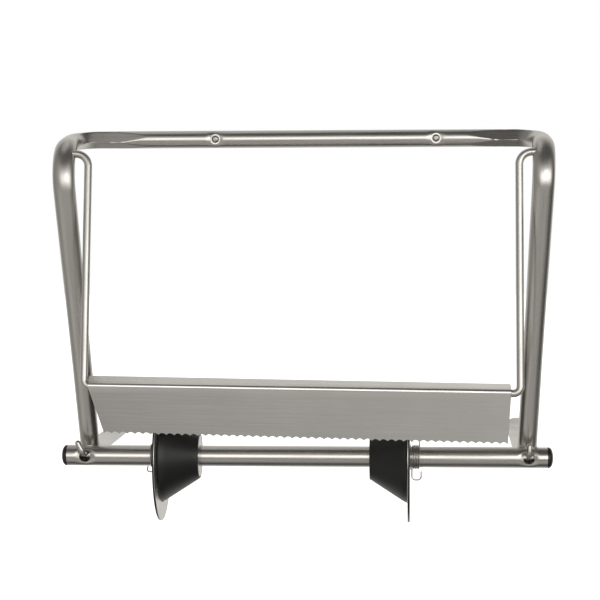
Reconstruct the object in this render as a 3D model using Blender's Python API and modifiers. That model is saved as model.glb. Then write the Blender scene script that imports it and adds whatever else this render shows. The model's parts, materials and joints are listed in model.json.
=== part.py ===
"""Cling film dispenser: a bent stainless tube frame, a roll bar that hangs on two wire
hooks, two sliding core cones held by spring clips, and a serrated blade on a wire bail.

Metres, +Z up. X runs along the roll bar, +Y goes back over the feet, -Y faces the user.
The origin is the middle of the roll bar's axis, in the plane that the feet stand on.
"""
import math

import bmesh
import bpy
from mathutils import Matrix, Vector

MM = 0.001
GAP = 0.3 * MM                      # room between pieces that touch
MERGE = 0.02 * MM

# Frame tube: one 19 mm tube, from foot to foot
TUBE_R = 9.5 * MM
TUBE_SIDES = 16
TOP_Y, TOP_Z = 12 * MM, 337 * MM    # axis of the top bar
ELBOW = (247.5 * MM, -68 * MM, 321 * MM)    # where an arm turns down, before its bend
HEEL = (235 * MM, 26 * MM, 2.2 * MM)        # where an arm turns back into its foot
TOE = (240 * MM, 266 * MM, 2.2 * MM)        # where a foot curls up to its tip
TOE_TIP = (240.5 * MM, 290 * MM, 10.9 * MM)
CORNER_BEND, ELBOW_BEND = 27 * MM, 38 * MM
HEEL_BEND, TOE_BEND = 20 * MM, 60 * MM
ARM_HALF = (10.6 * MM, 9.0 * MM)    # the arms are a little oval, wider across
CORNER_HALF = (8.2 * MM, 10.4 * MM)  # the pressed corners are flattened
FOOT_HALF = (14 * MM, 2.2 * MM)     # the feet are tube pressed flat
FOOT_CORNER = 12 * MM
FLATTEN_LENGTH = 48 * MM            # run over which a heel turns from tube to flat

# Screws through the top bar
SCREW_X = {"left": -96 * MM, "right": 138 * MM}
SCREW_HOLE_R, SCREW_HEAD_R = 5.5 * MM, 3.9 * MM
SCREW_SEAT_Y = TOP_Y - 4.5 * MM     # floor of the hole in the front of the bar
SCREW_HEAD_H, SCREW_SHANK_R = 3.0 * MM, 2.1 * MM
SCREW_END_Y = TOP_Y + TUBE_R + 16 * MM

# Roll bar and its end caps
BAR_R, BAR_WALL, BAR_HALF = 11 * MM, 1.5 * MM, 255 * MM
CAP_LENGTH, CAP_PLUG = 6 * MM, 12 * MM
HOOK_X, HOOK_HOLE_R = 235.3 * MM, 6.2 * MM

# Hooks of 6 mm wire that carry the bar
HOOK_WIRE_R, HOOK_Z = 3 * MM, 2.9 * MM
HOOK_FRONT_Y, HOOK_TIP_Z, HOOK_BEND = -16 * MM, 19.5 * MM, 6 * MM
HOOK_ROOT_Y = 36 * MM
HOOK_LEAN = {"left": -7.4 * MM, "right": 0.0}

# Core cones: distance from the middle to each flange disc's inner face
DISC_X = {"left": 152.5 * MM, "right": 108 * MM}
CONE_LENGTH, CONE_BIG_R, CONE_SMALL_R = 40 * MM, 49 * MM, 24.3 * MM
DISC_R, DISC_T = 68.5 * MM, 2.4 * MM
RING_R, RING_T = 22 * MM, 1.6 * MM
WASHER_R, WASHER_T = 13.6 * MM, 1.0 * MM
SLEEVE_IN_R, SLEEVE_OUT_R = BAR_R + GAP, 14 * MM

# Spring clips: close coils of wire round the bar, with two finger ears
CLIP_WIRE_R, CLIP_TURNS, CLIP_PITCH = 0.75 * MM, 4.5, 1.75 * MM
CLIP_START = {"left": math.radians(-30), "right": math.radians(-90)}  # first ear's angle
CLIP_R = BAR_R + GAP + CLIP_WIRE_R
CLIP_STEPS = 14
EAR_REACH, EAR_BEND = 12.7 * MM, 3.9 * MM
EAR_WIDTH = {"inner": 9.8 * MM, "outer": 8 * MM}

# Blade and the bail that it hangs on
PIVOT_Y, PIVOT_Z = -49 * MM, 319.5 * MM
BAIL_R, BAIL_X, BAIL_TIP_X = 4 * MM, 222 * MM, 242.5 * MM
BAIL_TOP_BEND, BAIL_LOW_BEND = 13 * MM, 7 * MM
PIVOT_BORE_R = BAIL_R + GAP
PIVOT_BORE_END = 243.5 * MM
BLADE_T = 1.2 * MM
BLADE_FACE, BLADE_FLANGE, BLADE_FOLD_R = 60 * MM, 16 * MM, 2.5 * MM
TEETH, TOOTH_DEPTH = 51, 2.3 * MM
# each end of the blade: fold's X, Y and Z, the face's lean, and the slant of its end cut
BLADE_ENDS = (
    (-217.3 * MM, -91 * MM, 83.4 * MM, math.radians(29), 12 * MM),
    (212.6 * MM, -87.5 * MM, 77.7 * MM, math.radians(21), -2.4 * MM),
)

SIDES = (("left", -1), ("right", 1))

STEEL = ((0.42, 0.40, 0.37), 0.32, 1.0)
BRIGHT = ((0.60, 0.58, 0.54), 0.25, 1.0)
BLACK = ((0.012, 0.012, 0.012), 0.42, 0.0)


def clear_scene():
    for old in list(bpy.data.objects):
        bpy.data.objects.remove(old, do_unlink=True)


def collection(name):
    made = bpy.data.collections.new(name)
    bpy.context.scene.collection.children.link(made)
    return made


def material(name, finish):
    colour, roughness, metallic = finish
    made = bpy.data.materials.new(name)
    made.use_nodes = True
    shader = made.node_tree.nodes["Principled BSDF"]
    shader.inputs["Base Color"].default_value = (*colour, 1)
    shader.inputs["Roughness"].default_value = roughness
    shader.inputs["Metallic"].default_value = metallic
    return made


def add_object(name, data, finish=None):
    """Link an object: with a finish it is a part, without one it is a cutter."""
    made = bpy.data.objects.new(name, data)
    if finish:
        PARTS.objects.link(made)
        data.materials.append(material(name, finish))
    else:
        CUTTERS.objects.link(made)
        made.hide_render = True
        made.display_type = "WIRE"
    return made


def smooth(mesh, degrees=40):
    mesh.shade_smooth()
    mesh.set_sharp_from_angle(angle=math.radians(degrees))


def rounded_path(corners, bends, step=math.radians(11)):
    """Points along straight runs through the corners, each turned on its bend radius."""
    points = [Vector(corners[0])]
    for before, at, after, radius in zip(corners, corners[1:], corners[2:], bends):
        before, at, after = Vector(before), Vector(at), Vector(after)
        to_before, to_after = (before - at).normalized(), (after - at).normalized()
        opening = to_before.angle(to_after)
        turn = math.pi - opening
        reach = radius / math.tan(opening / 2)
        centre = at + (to_before + to_after).normalized() * radius / math.sin(opening / 2)
        start = at + to_before * reach - centre
        axis = start.cross(at + to_after * reach - centre).normalized()
        count = max(2, math.ceil(turn / step))
        for i in range(count + 1):
            points.append(centre + Matrix.Rotation(turn * i / count, 3, axis) @ start)
    points.append(Vector(corners[-1]))
    return points


def wire(name, points, radius, finish, resolution=2):
    """A wire is a curve with a round bevel and filled caps, made a mesh."""
    data = bpy.data.curves.new(name, "CURVE")
    data.dimensions = "3D"
    data.bevel_depth = radius
    data.bevel_resolution = resolution
    data.use_fill_caps = True
    data.twist_mode = "MINIMUM"
    spline = data.splines.new("POLY")
    spline.points.add(len(points) - 1)
    for slot, point in zip(spline.points, points):
        slot.co = (*point, 1)
    curve = bpy.data.objects.new(name + "_curve", data)
    CUTTERS.objects.link(curve)
    bpy.context.view_layer.update()
    evaluated = curve.evaluated_get(bpy.context.evaluated_depsgraph_get())
    mesh = bpy.data.meshes.new_from_object(evaluated)
    bpy.data.objects.remove(curve, do_unlink=True)
    shape = bmesh.new()
    shape.from_mesh(mesh)
    bmesh.ops.remove_doubles(shape, verts=shape.verts, dist=MERGE)
    bmesh.ops.recalc_face_normals(shape, faces=shape.faces)
    shape.to_mesh(mesh)
    shape.free()
    mesh.materials.clear()
    smooth(mesh)
    return add_object(name, mesh, finish)


def turned(name, profile, finish, steps, origin=(0, 0, 0), flip=False):
    """A piece turned about the bar: (along X, radius) points run from -X to +X outside."""
    if flip:
        profile = [(-along, radius) for along, radius in reversed(profile)]
    mesh = bpy.data.meshes.new(name)
    shape = bmesh.new()
    corners = [shape.verts.new((radius, 0, -along)) for along, radius in profile]
    for start, end in zip(corners, corners[1:]):
        shape.edges.new((start, end))
    if profile[0][1] > MERGE:
        shape.edges.new((corners[-1], corners[0]))
    shape.to_mesh(mesh)
    shape.free()
    made = add_object(name, mesh, finish)
    made.location = origin
    made.rotation_euler = (0, -math.pi / 2, 0)
    screw = made.modifiers.new("Turn", "SCREW")
    screw.steps = steps
    screw.render_steps = steps
    screw.use_merge_vertices = True
    screw.merge_threshold = MERGE
    screw.use_smooth_shade = False
    return made


def cylinder(name, radius, start, end, segments=24, finish=None):
    """A cylinder between two points."""
    start, end = Vector(start), Vector(end)
    axis = end - start
    mesh = bpy.data.meshes.new(name)
    shape = bmesh.new()
    bmesh.ops.create_cone(
        shape, cap_ends=True, segments=segments, radius1=radius, radius2=radius,
        depth=axis.length,
    )
    shape.to_mesh(mesh)
    shape.free()
    made = add_object(name, mesh, finish)
    made.location = (start + end) / 2
    made.rotation_euler = axis.to_track_quat("Z", "Y").to_euler()
    return made


def cut(target, cutter):
    boolean = target.modifiers.new("Cut " + cutter.name, "BOOLEAN")
    boolean.operation = "DIFFERENCE"
    boolean.solver = "EXACT"
    boolean.object = cutter


def blend(low, high, t):
    t = min(1.0, max(0.0, t))
    t = t * t * (3 - 2 * t)
    return low + (high - low) * t


def tube_section(half_wide, half_high):
    """Points round a tube pressed to the given half sizes: a circle when they are equal."""
    corner = min(half_wide, half_high)
    per_quarter = TUBE_SIDES // 4
    points = []
    for i in range(TUBE_SIDES):
        angle = (i + 0.5) * math.tau / TUBE_SIDES
        side = 1 if i // per_quarter in (0, 3) else -1
        level = 1 if i // per_quarter in (0, 1) else -1
        points.append((
            side * (half_wide - corner) + corner * math.cos(angle),
            level * (half_high - corner) + corner * math.sin(angle),
        ))
    return points


def frame_centreline():
    """The tube's axis from the tip of the left foot to the tip of the right foot."""
    half = [
        TOE_TIP, TOE, HEEL, ELBOW, (ELBOW[0], TOP_Y, TOP_Z),
    ]
    corners = [(-x, y, z) for x, y, z in half] + half[::-1]
    bends = [TOE_BEND, HEEL_BEND, ELBOW_BEND, CORNER_BEND]
    points = rounded_path(corners, bends + bends[::-1])
    return add_stations(points)


def add_stations(points):
    """Split the long runs where the section changes: at the tips, along the heels and arms."""
    arm_run = longest_run(points, 0, len(points) // 2)
    foot_run = longest_run(points, 0, arm_run)
    tip = [FOOT_CORNER * s for s in (0.04, 0.16, 0.36, 0.64, 1.0)]
    heel = [HEEL_BEND + FLATTEN_LENGTH * s for s in (1.0, 0.75, 0.5, 0.25)]
    half = split(points[0], points[1], tip)
    half += points[1:foot_run + 1]
    half += split(points[foot_run + 1], points[foot_run], heel)
    half += points[foot_run + 1:arm_run + 1]
    half += [points[arm_run].lerp(points[arm_run + 1], s) for s in (0.06, 0.94)]
    middle = points[arm_run + 1:len(points) - 1 - arm_run]
    mirror = [Vector((-p.x, p.y, p.z)) for p in reversed(half)]
    return points[:1] + half + middle + mirror + points[-1:]


def split(start, end, distances):
    """Points at the distances from start towards end."""
    run = (end - start).length
    return [start.lerp(end, distance / run) for distance in distances]


def longest_run(points, first, last):
    runs = [(points[i + 1] - points[i]).length for i in range(first, last - 1)]
    return first + runs.index(max(runs))


def half_sizes(point, along_from_tip):
    """Half width and half height of the tube's section at a point of its axis."""
    wide, high = TUBE_R, TUBE_R
    if point.y > HEEL[1] - HEEL_BEND or point.z < HEEL[2] + HEEL_BEND:
        flat = (point.y - point.z - HEEL[1] + HEEL_BEND) / FLATTEN_LENGTH
        wide = blend(ARM_HALF[0], FOOT_HALF[0], flat)
        high = blend(ARM_HALF[1], FOOT_HALF[1], flat)
        if along_from_tip < FOOT_CORNER:
            rest = FOOT_CORNER - along_from_tip
            wide -= FOOT_CORNER - math.sqrt(FOOT_CORNER ** 2 - rest ** 2)
    elif point.z < ELBOW[2]:
        wide, high = ARM_HALF
    else:
        corner = Vector((ELBOW[0] - 0.3 * CORNER_BEND, TOP_Y - 0.3 * CORNER_BEND, TOP_Z))
        away = (Vector((abs(point.x), point.y, point.z)) - corner).length / (1.6 * CORNER_BEND)
        wide = blend(CORNER_HALF[0], TUBE_R, away)
        high = blend(CORNER_HALF[1], TUBE_R, away)
    return wide, high


def frame_tube():
    points = frame_centreline()
    along = [0.0]
    for before, after in zip(points, points[1:]):
        along.append(along[-1] + (after - before).length)
    across = Vector((1, 0, 0))
    shape = bmesh.new()
    rings = []
    for i, point in enumerate(points):
        before, after = points[max(i - 1, 0)], points[min(i + 1, len(points) - 1)]
        forward = ((point - before).normalized() + (after - point).normalized()).normalized()
        across = (across - forward * across.dot(forward)).normalized()
        up = forward.cross(across)
        wide, high = half_sizes(point, min(along[i], along[-1] - along[i]))
        rings.append([
            shape.verts.new(point + across * a + up * b) for a, b in tube_section(wide, high)
        ])
    for ring, following in zip(rings, rings[1:]):
        for i in range(TUBE_SIDES):
            j = (i + 1) % TUBE_SIDES
            shape.faces.new((ring[i], ring[j], following[j], following[i]))
    shape.faces.new(rings[0])
    shape.faces.new(rings[-1])
    bmesh.ops.recalc_face_normals(shape, faces=shape.faces)
    mesh = bpy.data.meshes.new("frame_tube")
    shape.to_mesh(mesh)
    shape.free()
    smooth(mesh)
    frame = add_object("frame_tube", mesh, STEEL)
    for side, sign in SIDES:
        x = SCREW_X[side]
        cut(frame, cylinder(
            f"screw_hole_{side}", SCREW_HOLE_R,
            (x, TOP_Y - 2 * TUBE_R, TOP_Z), (x, SCREW_SEAT_Y, TOP_Z),
        ))
        cut(frame, cylinder(
            f"shank_hole_{side}", SCREW_SHANK_R + GAP,
            (x, SCREW_SEAT_Y - MM, TOP_Z), (x, TOP_Y + 2 * TUBE_R, TOP_Z), 16,
        ))
        cut(frame, cylinder(
            f"pivot_bore_{side}", PIVOT_BORE_R,
            (sign * (BAIL_X + 2 * MM), PIVOT_Y, PIVOT_Z),
            (sign * PIVOT_BORE_END, PIVOT_Y, PIVOT_Z),
        ))
        cut(frame, cylinder(
            f"hook_socket_{side}", HOOK_WIRE_R + GAP,
            (sign * HOOK_X, 0, HOOK_Z), (sign * HOOK_X, HOOK_ROOT_Y + GAP, HOOK_Z), 16,
        ))


def mount_screw(side):
    """A pan-head screw: its head sits in the bar's front hole, with a cross recess."""
    seat = GAP
    profile = [
        (-SCREW_HEAD_H, 0), (-SCREW_HEAD_H, 0.45 * SCREW_HEAD_R),
        (-0.82 * SCREW_HEAD_H, 0.8 * SCREW_HEAD_R), (-0.4 * SCREW_HEAD_H, SCREW_HEAD_R),
        (-seat, SCREW_HEAD_R), (-seat, SCREW_SHANK_R),
        (SCREW_END_Y - SCREW_SEAT_Y - 4 * MM, SCREW_SHANK_R), (SCREW_END_Y - SCREW_SEAT_Y, 0),
    ]
    screw = turned(f"mount_screw_{side}", profile, BRIGHT, 16)
    screw.location = (SCREW_X[side], SCREW_SEAT_Y, TOP_Z)
    screw.rotation_euler = (math.pi / 2, 0, 0)
    for name, size in (("slot", (4.0, 1.0)), ("cross", (1.0, 4.0))):
        mesh = bpy.data.meshes.new(name)
        shape = bmesh.new()
        bmesh.ops.create_cube(shape, size=1, matrix=Matrix.Diagonal(
            (size[0] * MM, 2.4 * MM, size[1] * MM, 1)))
        shape.to_mesh(mesh)
        shape.free()
        recess = add_object(f"{name}_{side}", mesh)
        recess.location = (SCREW_X[side], SCREW_SEAT_Y - SCREW_HEAD_H, TOP_Z)
        cut(screw, recess)


def roll_bar():
    bar = cylinder("roll_bar", BAR_R, (-BAR_HALF, 0, 0), (BAR_HALF, 0, 0), 32, STEEL)
    smooth(bar.data)
    inside = BAR_HALF + 5 * MM
    cut(bar, cylinder("bar_bore", BAR_R - BAR_WALL, (-inside, 0, 0), (inside, 0, 0), 32))
    for side, sign in SIDES:
        x = sign * HOOK_X
        cut(bar, cylinder(
            f"hook_hole_{side}", HOOK_HOLE_R, (x, -2 * BAR_R, 0), (x, 2 * BAR_R, 0), 20,
        ))


def end_cap(side, sign):
    """A domed plastic cap with a plug that fills the end of the bar."""
    plug_r = BAR_R - BAR_WALL - GAP
    profile = [(-CAP_PLUG, 0), (-CAP_PLUG, plug_r), (GAP, plug_r), (GAP, BAR_R)]
    profile += [
        (GAP + (CAP_LENGTH - GAP) * math.sin(a), 0.25 * MM + (BAR_R - 0.25 * MM) * math.cos(a) ** 0.8)
        for a in (math.radians(d) for d in (20, 45, 65, 80))
    ]
    profile += [(CAP_LENGTH, 0)]
    turned(f"end_cap_{side}", profile, BLACK, 24, (sign * BAR_HALF, 0, 0), sign < 0)


def bar_hook(side, sign):
    x = sign * HOOK_X
    corners = [
        (x, HOOK_ROOT_Y, HOOK_Z), (x, HOOK_FRONT_Y, HOOK_Z),
        (x + HOOK_LEAN[side], HOOK_FRONT_Y, HOOK_TIP_Z),
    ]
    hook = wire(f"bar_hook_{side}", rounded_path(corners, [HOOK_BEND]), HOOK_WIRE_R, BRIGHT)
    bevel = hook.modifiers.new("Rounded tip", "BEVEL")
    bevel.width = 1.1 * MM
    bevel.segments = 1
    bevel.limit_method = "ANGLE"
    bevel.angle_limit = math.radians(60)


def cone_group(side, sign):
    """The core cone with all that turns with it; 'along' runs outwards from the disc's
    inner face."""
    at = (sign * DISC_X[side], 0, 0)
    flip = sign < 0
    fillet = 3 * MM
    slope = (CONE_BIG_R - fillet - CONE_SMALL_R) / CONE_LENGTH
    bore = SLEEVE_OUT_R + GAP
    ring_end = -CONE_LENGTH + RING_T
    cone = [
        (ring_end + GAP, bore), (ring_end + GAP, RING_R + GAP), (-CONE_LENGTH, RING_R + GAP),
        (-CONE_LENGTH, CONE_SMALL_R - MM), (-CONE_LENGTH + MM, CONE_SMALL_R),
        (-fillet - GAP, CONE_SMALL_R + slope * (CONE_LENGTH - fillet)),
        (-0.4 * fillet - GAP, CONE_BIG_R - 0.45 * fillet), (-GAP, CONE_BIG_R), (-GAP, bore),
    ]
    turned(f"cone_{side}", cone, BLACK, 40, at, flip)
    disc = [
        (0, bore), (0, DISC_R - 0.6 * MM), (0.6 * MM, DISC_R),
        (DISC_T - 0.6 * MM, DISC_R), (DISC_T, DISC_R - 0.6 * MM), (DISC_T, bore),
    ]
    turned(f"flange_disc_{side}", disc, BRIGHT, 48, at, flip)
    ring = [
        (-CONE_LENGTH, SLEEVE_IN_R), (-CONE_LENGTH, RING_R - 0.5 * MM),
        (-CONE_LENGTH + 0.5 * MM, RING_R), (ring_end, RING_R), (ring_end, SLEEVE_IN_R),
    ]
    turned(f"cone_end_ring_{side}", ring, BRIGHT, 32, at, flip)
    sleeve = [
        (ring_end + GAP, SLEEVE_IN_R), (ring_end + GAP, SLEEVE_OUT_R),
        (DISC_T, SLEEVE_OUT_R), (DISC_T, SLEEVE_IN_R),
    ]
    turned(f"cone_sleeve_{side}", sleeve, BRIGHT, 32, at, flip)
    washer_at = DISC_T + GAP
    washer = [
        (washer_at, SLEEVE_IN_R), (washer_at, WASHER_R),
        (washer_at + WASHER_T, WASHER_R), (washer_at + WASHER_T, SLEEVE_IN_R),
    ]
    turned(f"outer_washer_{side}", washer, BRIGHT, 32, at, flip)


def clip_ear(anchor, along, radial, tangent, width):
    """A finger ear: the wire turns off the coil, out, across and back towards the bar."""
    root = anchor + tangent * 2.6 * MM
    out = root + radial * EAR_REACH
    back = out + along * width
    home = back - radial * (EAR_REACH - 3.2 * MM)
    return rounded_path([anchor, root, out, back, home], [1.6 * MM, EAR_BEND, EAR_BEND])[1:]


def spring_clip(side, sign):
    """A wire coil just outside the washer; its two ends stand out as finger ears."""
    start = DISC_X[side] + DISC_T + GAP + WASHER_T + GAP + CLIP_WIRE_R

    def on_coil(turn):
        angle = CLIP_START[side] + turn * math.tau
        x = sign * (start + turn * CLIP_PITCH)
        return Vector((x, -CLIP_R * math.cos(angle), CLIP_R * math.sin(angle)))

    def radial(turn):
        point = on_coil(turn)
        return Vector((0, point.y, point.z)).normalized()

    def tangent(turn):
        return (on_coil(turn + 0.01) - on_coil(turn - 0.01)).normalized()

    steps = round(CLIP_TURNS * CLIP_STEPS)
    coil = [on_coil(CLIP_TURNS * i / steps) for i in range(steps + 1)]
    outward = Vector((sign, 0, 0))
    inner_ear = clip_ear(coil[0], outward, radial(0), -tangent(0), EAR_WIDTH["inner"])
    outer_ear = clip_ear(
        coil[-1], -outward, radial(CLIP_TURNS), tangent(CLIP_TURNS), EAR_WIDTH["outer"])
    path = inner_ear[::-1] + coil + outer_ear
    wire(f"spring_clip_{side}", path, CLIP_WIRE_R, BRIGHT, resolution=1)


def blade_fold(u):
    """The fold line and the face's lean at a share u of the blade's length."""
    (x0, y0, z0, lean0, _), (x1, y1, z1, lean1, _) = BLADE_ENDS
    fold = Vector((x0, y0, z0)).lerp(Vector((x1, y1, z1)), u)
    lean = lean0 + (lean1 - lean0) * u
    down = Vector((0, math.sin(lean), -math.cos(lean)))
    back = Vector((0, math.cos(lean), math.sin(lean)))
    return fold, down, back


def blade_row(row, u):
    """A point of the sheet's middle: row 0 is the toothed edge, the last is the flange."""
    fold, down, back = blade_fold(u)
    slant = BLADE_ENDS[0][4] * (1 - u) + BLADE_ENDS[1][4] * u
    if row == 0:
        return fold + down * BLADE_FACE + Vector((slant, 0, 0))
    if row <= 4:
        turn = math.radians(90) * (row - 1) / 3
        r = BLADE_FOLD_R
        return fold + down * r * (1 - math.sin(turn)) + back * r * (1 - math.cos(turn))
    return fold + back * BLADE_FLANGE


def blade():
    """A folded sheet: a grid with a column at each tooth's tip and notch."""
    columns, rows = 2 * TEETH, 5
    shape = bmesh.new()
    bmesh.ops.create_grid(shape, x_segments=columns, y_segments=rows, size=1)
    for vert in shape.verts:
        column = round((vert.co.x + 1) / 2 * columns)
        row = round((vert.co.y + 1) / 2 * rows)
        u = column / columns
        place = blade_row(row, u)
        if row == 0 and column % 2 == 0:
            place -= blade_fold(u)[1] * TOOTH_DEPTH
        vert.co = place
    bmesh.ops.recalc_face_normals(shape, faces=shape.faces)
    mesh = bpy.data.meshes.new("blade")
    shape.to_mesh(mesh)
    shape.free()
    made = add_object("blade", mesh, STEEL)
    thick = made.modifiers.new("Sheet", "SOLIDIFY")
    thick.thickness = BLADE_T
    thick.offset = 0


def blade_bail():
    """A U of wire: its ends turn out into the arms and its foot lies in the blade's fold."""
    inset = BAIL_R + BLADE_T / 2 + GAP
    low = []
    for (x, *_), u, sign in ((BLADE_ENDS[0], 0, -1), (BLADE_ENDS[1], 1, 1)):
        fold, down, back = blade_fold(u)
        centre = fold + (down + back) * inset
        low.append((sign * BAIL_X, centre.y, centre.z))
    corners = [
        (-BAIL_TIP_X, PIVOT_Y, PIVOT_Z), (-BAIL_X, PIVOT_Y, PIVOT_Z), low[0],
        low[1], (BAIL_X, PIVOT_Y, PIVOT_Z), (BAIL_TIP_X, PIVOT_Y, PIVOT_Z),
    ]
    bends = [BAIL_TOP_BEND, BAIL_LOW_BEND, BAIL_LOW_BEND, BAIL_TOP_BEND]
    wire("blade_bail", rounded_path(corners, bends), BAIL_R, BRIGHT)


def main():
    frame_tube()
    roll_bar()
    for side, sign in SIDES:
        mount_screw(side)
        end_cap(side, sign)
        bar_hook(side, sign)
        cone_group(side, sign)
        spring_clip(side, sign)
    blade_bail()
    blade()


clear_scene()
PARTS = collection("cling_film_dispenser")
CUTTERS = collection("cutters")
main()
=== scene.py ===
"""Looks of the cling film dispenser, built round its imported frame.

The file is laid out as an add-on: property groups hold the sizes and finishes, each piece
or group of like pieces has an operator, and a panel in the 3D view's sidebar lists them.
X runs along the roll bar, +Y goes back over the feet, +Z is up; all sizes are in metres.
"""
import json
import math

import bmesh
import bpy
from mathutils import Matrix, Vector


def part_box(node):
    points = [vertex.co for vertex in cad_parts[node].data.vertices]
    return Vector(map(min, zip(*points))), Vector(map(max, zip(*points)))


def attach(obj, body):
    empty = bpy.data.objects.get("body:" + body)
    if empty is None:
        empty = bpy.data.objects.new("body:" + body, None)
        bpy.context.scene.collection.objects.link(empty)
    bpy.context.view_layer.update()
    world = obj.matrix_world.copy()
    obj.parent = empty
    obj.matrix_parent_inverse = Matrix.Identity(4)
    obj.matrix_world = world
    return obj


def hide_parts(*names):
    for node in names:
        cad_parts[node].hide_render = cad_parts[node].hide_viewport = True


bl_info = {
    "name": "Cling film dispenser",
    "version": (1, 0, 0),
    "blender": (4, 5, 0),
    "location": "View3D > Sidebar > Dispenser",
    "description": "Builds the visible pieces of a cling film dispenser round its frame",
    "category": "Add Mesh",
}

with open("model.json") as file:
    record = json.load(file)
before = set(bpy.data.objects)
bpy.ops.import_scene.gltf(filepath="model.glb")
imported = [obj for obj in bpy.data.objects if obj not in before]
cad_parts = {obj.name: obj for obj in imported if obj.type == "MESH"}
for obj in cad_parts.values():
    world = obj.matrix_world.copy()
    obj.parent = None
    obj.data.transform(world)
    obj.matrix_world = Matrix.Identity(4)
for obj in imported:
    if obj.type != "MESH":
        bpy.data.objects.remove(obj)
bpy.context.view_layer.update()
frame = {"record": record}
MM = 0.001
SIDES = (("left", -1), ("right", 1))


def low(node):
    return Vector(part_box(node)[0])


def high(node):
    return Vector(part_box(node)[1])


def centre(node):
    return (low(node) + high(node)) / 2


def joint(name):
    return next(j for j in frame["record"]["behaviour"]["joints"] if j["name"] == name)


TOP_AXIS = (high("mount_screw_left").z + low("mount_screw_left").z) / 2
TUBE_RADIUS = high("frame_tube").z - TOP_AXIS
FOOT_HALF_THICK = 2.2 * MM
TOE_RISE = 8.7 * MM
TOE_TILT = math.radians(20)
FOOT_END = high("frame_tube").y - FOOT_HALF_THICK * math.sin(TOE_TILT)
BAR_RADIUS = high("roll_bar").z
BAR_HALF = high("roll_bar").x
PIVOT = Vector(joint("blade_swing")["pos_m"])
GAP = 0.3 * MM                      # room between pieces that touch
HOOK_WIRE_RADIUS = 3 * MM
HOOK_HEIGHT = 2.9 * MM              # axis of a hook's straight part
HOOK_SOCKET_RADIUS = HOOK_WIRE_RADIUS + GAP
BAIL_RADIUS = 4 * MM


# ---------------------------------------------------------------- property groups

def length(name, default, description):
    return bpy.props.FloatProperty(
        name=name, default=default, description=description, unit="LENGTH", precision=5)


def tint(name, default, description):
    return bpy.props.FloatVectorProperty(
        name=name, default=default, description=description, subtype="COLOR", size=3,
        min=0, max=1)


def share(name, default, description):
    return bpy.props.FloatProperty(
        name=name, default=default, description=description, subtype="FACTOR",
        min=0, max=1)


class DispenserTube(bpy.types.PropertyGroup):
    radius: length("Tube radius", TUBE_RADIUS, "Outside radius of the bent frame tube")
    top_y: length("Top bar Y", 12 * MM, "How far back the top bar's axis lies")
    elbow_y: length("Elbow Y", -68 * MM, "Where the arms turn down, before their bend")
    elbow_z: length("Elbow Z", TOP_AXIS - 16 * MM, "Height at which the arms turn down")
    elbow_x: length("Elbow X", 247.5 * MM, "Half the distance between the elbows")
    toe_y: length("Toe Y", 266 * MM, "Where the feet curl up")
    toe_x: length("Toe X", 240 * MM, "Half the distance between the toes")
    toe_bend: length("Toe bend", 60 * MM, "Bend radius of the curl at the toes")
    heel_x: length("Heel X", 235 * MM, "Half the distance between the heels")
    heel_y: length("Heel Y", 26 * MM, "Where the arms turn back into the feet")
    heel_z: length("Heel Z", FOOT_HALF_THICK, "Height of the middle of the flattened feet")
    corner_bend: length("Corner bend", 27 * MM, "Bend radius at the top corners")
    elbow_bend: length("Elbow bend", 38 * MM, "Bend radius at the elbows")
    heel_bend: length("Heel bend", 20 * MM, "Bend radius at the heels")
    press_depth: length("Press depth", 3.1 * MM, "Depth of the flats that the press left")
    press_run: length("Press run", 75 * MM, "How far along the top bar the flats fade out")


class DispenserBar(bpy.types.PropertyGroup):
    radius: length("Bar radius", BAR_RADIUS, "Outside radius of the roll bar")
    wall: length("Wall", 1.5 * MM, "Wall thickness of the roll bar")
    hole_radius: length("Hook hole radius", 6.2 * MM, "Radius of the holes for the hooks")
    dimple: length("Dimple depth", 1.9 * MM, "How deep the wall is pressed round a hole")
    dimple_reach: length("Dimple reach", 12.5 * MM, "Radius at which a dimple fades out")


class DispenserBlade(bpy.types.PropertyGroup):
    thickness: length("Sheet", 1.2 * MM, "Thickness of the blade's sheet")
    face: length("Face", 60 * MM, "From the fold to the tips of the teeth")
    flange: length("Flange", 16 * MM, "Width of the folded top")
    fold_radius: length("Fold radius", 3.2 * MM, "Outside radius of the fold")
    tooth_depth: length("Tooth depth", 2.3 * MM, "From a tooth's tip to its notch")
    teeth: bpy.props.IntProperty(
        name="Teeth", default=51, description="Number of teeth along the blade")


class DispenserFinish(bpy.types.PropertyGroup):
    tube: tint("Tube", (0.62, 0.60, 0.565), "Brushed stainless tube")
    wire: tint("Wire", (0.60, 0.585, 0.55), "Drawn stainless wire")
    blade: tint("Blade", (0.86, 0.84, 0.80), "Brushed stainless sheet")
    disc: tint("Disc", (0.60, 0.58, 0.54), "Satin stainless disc")
    plastic: tint("Plastic", (0.007, 0.007, 0.0068), "Black moulded plastic")
    grain: share("Grain", 0.5, "Strength of the brushed grain")


# ---------------------------------------------------------------- node helpers

class Socket:
    """A node's output with the sums that shader maths is written in."""

    def __init__(self, shader, output):
        self.shader = shader
        self.output = output

    def math(self, operation, *others):
        return self.shader.node("ShaderNodeMath", {"operation": operation}, self, *others)

    def __add__(self, other):
        return self.math("ADD", other)

    __radd__ = __add__

    def __sub__(self, other):
        return self.math("SUBTRACT", other)

    def __rsub__(self, other):
        return self.shader.node("ShaderNodeMath", {"operation": "SUBTRACT"}, other, self)

    def __mul__(self, other):
        return self.math("MULTIPLY", other)

    __rmul__ = __mul__


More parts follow.
